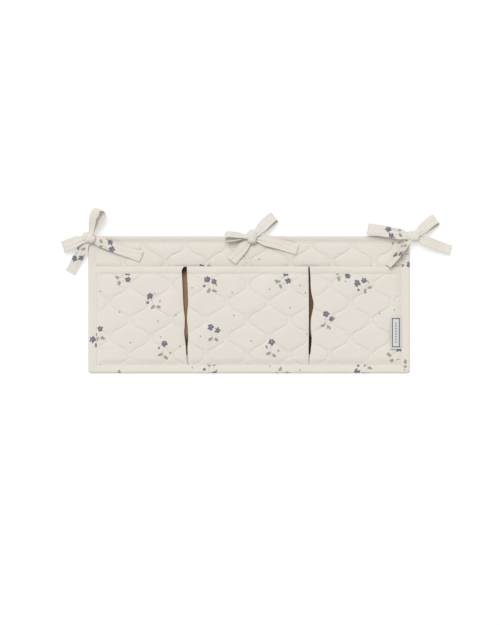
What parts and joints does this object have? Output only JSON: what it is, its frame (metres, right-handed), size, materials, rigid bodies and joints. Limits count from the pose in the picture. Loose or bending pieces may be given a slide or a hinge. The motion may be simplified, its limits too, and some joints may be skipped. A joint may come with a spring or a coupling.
{
  "type": "bedside caddy",
  "caption": "Quilted cotton pocket panel with pleated open-top pockets, a bound edge and cloth ties in bows, hung on a cot or bed rail to hold small things.",
  "frame": {"origin": "middle of the panel's back, on the plane that it lies on", "axes": "+X to the right along the panel, +Y to the tied top edge, +Z out of the pockets' side"},
  "size_m": [0.7299, 0.3073, 0.0298],
  "materials": {
    "printed_cotton": "matt",
    "plain_cotton": "matt",
    "wadding": "matt",
    "tan_cotton": "matt",
    "woven_label": "satin"
  },
  "bodies": {
    "panel": {"back_lining": "plain_cotton", "back_wadding": "wadding", "back_face": "printed_cotton", "binding_bottom": "printed_cotton", "binding_right": "printed_cotton", "binding_top": "printed_cotton", "binding_left": "printed_cotton", "left_pocket_pleat": "tan_cotton", "middle_pocket_left_pleat": "tan_cotton", "middle_pocket_right_pleat": "tan_cotton", "right_pocket_pleat": "tan_cotton", "left_bow_anchor": "printed_cotton", "left_bow_knot": "printed_cotton", "middle_bow_anchor": "printed_cotton", "middle_bow_knot": "printed_cotton", "right_bow_anchor": "printed_cotton", "right_bow_knot": "printed_cotton", "left_bow_lower_tail_root": "printed_cotton", "middle_bow_lower_tail_root": "printed_cotton"},
    "left_pocket": {"left_pocket_face": "printed_cotton", "left_pocket_wadding": "wadding", "left_pocket_lining": "plain_cotton", "left_pocket_hem": "printed_cotton"},
    "middle_pocket": {"middle_pocket_face": "printed_cotton", "middle_pocket_wadding": "wadding", "middle_pocket_lining": "plain_cotton", "middle_pocket_hem": "printed_cotton"},
    "right_pocket": {"right_pocket_face": "printed_cotton", "right_pocket_wadding": "wadding", "right_pocket_lining": "plain_cotton", "right_pocket_hem": "printed_cotton"},
    "label": {"side_label": "woven_label"},
    "left_bow_upper_loop": {"left_bow_upper_loop": "printed_cotton"},
    "left_bow_side_loop": {"left_bow_side_loop": "printed_cotton"},
    "left_bow_lower_tail": {"left_bow_lower_tail": "printed_cotton"},
    "left_bow_long_tail": {"left_bow_long_tail": "printed_cotton"},
    "middle_bow_upper_loop": {"middle_bow_upper_loop": "printed_cotton"},
    "middle_bow_side_loop": {"middle_bow_side_loop": "printed_cotton"},
    "middle_bow_lower_tail": {"middle_bow_lower_tail": "printed_cotton"},
    "middle_bow_long_tail": {"middle_bow_long_tail": "printed_cotton"},
    "right_bow_side_loop": {"right_bow_side_loop": "printed_cotton"},
    "right_bow_upper_loop": {"right_bow_upper_loop": "printed_cotton"},
    "right_bow_outer_tail": {"right_bow_outer_tail": "printed_cotton"},
    "right_bow_lower_tail": {"right_bow_lower_tail": "printed_cotton"}
  },
  "joints": [
    {"name": "left_pocket_opening", "type": "hinge", "parent": "panel", "child": "left_pocket", "pos_m": [-0.2837, 0, 0.0081], "axis": [0, -1, 0], "range_deg": [0, 8], "deforming": ["left_pocket_pleat"]},
    {"name": "middle_pocket_opening", "type": "hinge", "parent": "panel", "child": "middle_pocket", "pos_m": [0, -0.1117, 0.0071], "axis": [1, 0, 0], "range_deg": [0, 8], "deforming": ["middle_pocket_left_pleat", "middle_pocket_right_pleat"]},
    {"name": "right_pocket_opening", "type": "hinge", "parent": "panel", "child": "right_pocket", "pos_m": [0.2837, 0, 0.0081], "axis": [0, 1, 0], "range_deg": [0, 8], "deforming": ["right_pocket_pleat"]},
    {"name": "label_flip", "type": "hinge", "parent": "right_pocket", "child": "label", "pos_m": [0.2834, -0.0525, 0.0102], "axis": [0, 1, 0], "range_deg": [0, 120]},
    {"name": "left_bow_upper_loop_lift", "type": "hinge", "parent": "panel", "child": "left_bow_upper_loop", "pos_m": [-0.29476, 0.13201, 0.01919], "axis": [0.9272, -0.3746, 0], "range_deg": [0, 60]},
    {"name": "left_bow_side_loop_lift", "type": "hinge", "parent": "panel", "child": "left_bow_side_loop", "pos_m": [-0.30916, 0.12037, 0.01656], "axis": [-0.309, 0.9511, 0], "range_deg": [0, 60]},
    {"name": "left_bow_lower_tail_lift", "type": "hinge", "parent": "panel", "child": "left_bow_lower_tail", "pos_m": [-0.31109, 0.10039, 0.0112], "axis": [-0.8746, 0.4848, 0], "range_deg": [0, 60]},
    {"name": "left_bow_long_tail_lift", "type": "hinge", "parent": "panel", "child": "left_bow_long_tail", "pos_m": [-0.28766, 0.12024, 0.0112], "axis": [-0.342, -0.9397, 0], "range_deg": [0, 60]},
    {"name": "middle_bow_upper_loop_lift", "type": "hinge", "parent": "panel", "child": "middle_bow_upper_loop", "pos_m": [0.01482, 0.13416, 0.01713], "axis": [0.6561, -0.7547, 0], "range_deg": [0, 60]},
    {"name": "middle_bow_side_loop_lift", "type": "hinge", "parent": "panel", "child": "middle_bow_side_loop", "pos_m": [-0.00311, 0.1265, 0.02013], "axis": [0, 1, 0], "range_deg": [0, 60]},
    {"name": "middle_bow_lower_tail_lift", "type": "hinge", "parent": "panel", "child": "middle_bow_lower_tail", "pos_m": [-0.01071, 0.10658, 0.0112], "axis": [-0.766, 0.6428, 0], "range_deg": [0, 60]},
    {"name": "middle_bow_long_tail_lift", "type": "hinge", "parent": "panel", "child": "middle_bow_long_tail", "pos_m": [0.01397, 0.12422, 0.0112], "axis": [-0.2756, -0.9613, 0], "range_deg": [0, 60]},
    {"name": "right_bow_side_loop_lift", "type": "hinge", "parent": "panel", "child": "right_bow_side_loop", "pos_m": [0.29401, 0.12844, 0.01656], "axis": [0.1736, 0.9848, 0], "range_deg": [0, 60]},
    {"name": "right_bow_upper_loop_lift", "type": "hinge", "parent": "panel", "child": "right_bow_upper_loop", "pos_m": [0.31422, 0.1332, 0.01675], "axis": [0.5878, -0.809, 0], "range_deg": [0, 60]},
    {"name": "right_bow_outer_tail_lift", "type": "hinge", "parent": "panel", "child": "right_bow_outer_tail", "pos_m": [0.31572, 0.12281, 0.01371], "axis": [-0.3256, -0.9455, 0], "range_deg": [0, 60]},
    {"name": "right_bow_lower_tail_lift", "type": "hinge", "parent": "panel", "child": "right_bow_lower_tail", "pos_m": [0.2983, 0.1188, 0.01853], "axis": [-0.7547, 0.6561, 0], "range_deg": [0, 60]}
  ]
}
